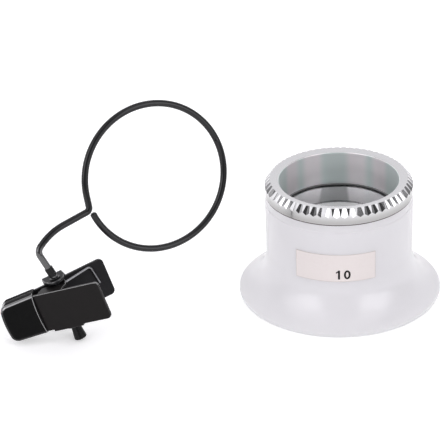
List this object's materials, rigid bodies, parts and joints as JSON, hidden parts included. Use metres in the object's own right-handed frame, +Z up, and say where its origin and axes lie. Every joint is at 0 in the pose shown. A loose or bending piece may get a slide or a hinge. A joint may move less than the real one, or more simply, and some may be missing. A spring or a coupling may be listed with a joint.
{
  "type": "clip on eyeglass loupe",
  "caption": "Short focus eye loupe in a flared frosted cup with a fluted screw-in lens barrel, beside the spring clip and wire ring that carry it on glasses.",
  "frame": {"origin": "centre of the eye cup's rim, on the surface that it stands on", "axes": "+Z up the optical axis from the eye cup to the lens barrel; +X to the right with the clip at -X; -Y towards the viewer, where the label is"},
  "size_m": [0.0996, 0.0484, 0.0484],
  "materials": {
    "frosted_shell": "satin, faintly translucent",
    "bright_aluminium": "polished",
    "dark_aluminium": "black anodised",
    "black_rubber": "satin",
    "lens_glass": "polished",
    "black_plastic": "matte",
    "label_paper": "satin",
    "black_sheet": "satin black",
    "black_wire": "satin black",
    "spring_steel": "bright drawn"
  },
  "bodies": {
    "shell": {"housing": "frosted_shell", "power_label": "label_paper"},
    "washer": {"seal_washer": "black_rubber"},
    "barrel": {"lens_barrel": "bright_aluminium", "front_gasket": "black_rubber", "objective_lens": "lens_glass", "lens_spacer": "black_plastic", "eye_lens": "lens_glass", "retaining_ring": "dark_aluminium"},
    "front_jaw": {"front_leaf": "black_sheet", "front_boot": "black_rubber", "torsion_spring": "spring_steel"},
    "rear_jaw": {"rear_leaf": "black_sheet", "rear_boot": "black_rubber"},
    "wire": {"wire_arm": "black_wire", "pivot_washer": "black_plastic", "pivot_collar": "black_plastic", "end_knob": "black_plastic"}
  },
  "joints": [
    {"name": "barrel_rise", "type": "slide", "parent": "shell", "child": "washer", "axis": [0, 0, 1], "range_m": [0, 0.006]},
    {"name": "barrel_turn", "type": "hinge", "parent": "washer", "child": "barrel", "pos_m": [0, 0, 0.02482], "axis": [0, 0, 1], "range_deg": [0, 2160]},
    {"name": "clip_lift", "type": "slide", "parent": "shell", "child": "front_jaw", "axis": [0, 0, 1], "range_m": [0, 0.04]},
    {"name": "jaw_squeeze", "type": "hinge", "parent": "front_jaw", "child": "rear_jaw", "pos_m": [-0.06214, -0.0175, 0.00909], "axis": [0.3163, -0.1375, -0.9386], "range_deg": [0, 40], "stiffness_Nm_per_rad": 0.05, "springref_deg": -34.38, "deforming": ["torsion_spring"]},
    {"name": "wire_swivel", "type": "hinge", "parent": "front_jaw", "child": "wire", "pos_m": [-0.06214, -0.0175, 0.00909], "axis": [-0.3163, 0.1375, 0.9386], "range_deg": [-170, 90]}
  ],
  "couplings": [
    {"joint": "barrel_rise", "follows": "barrel_turn", "m_per_rad": 0.00015915}
  ]
}
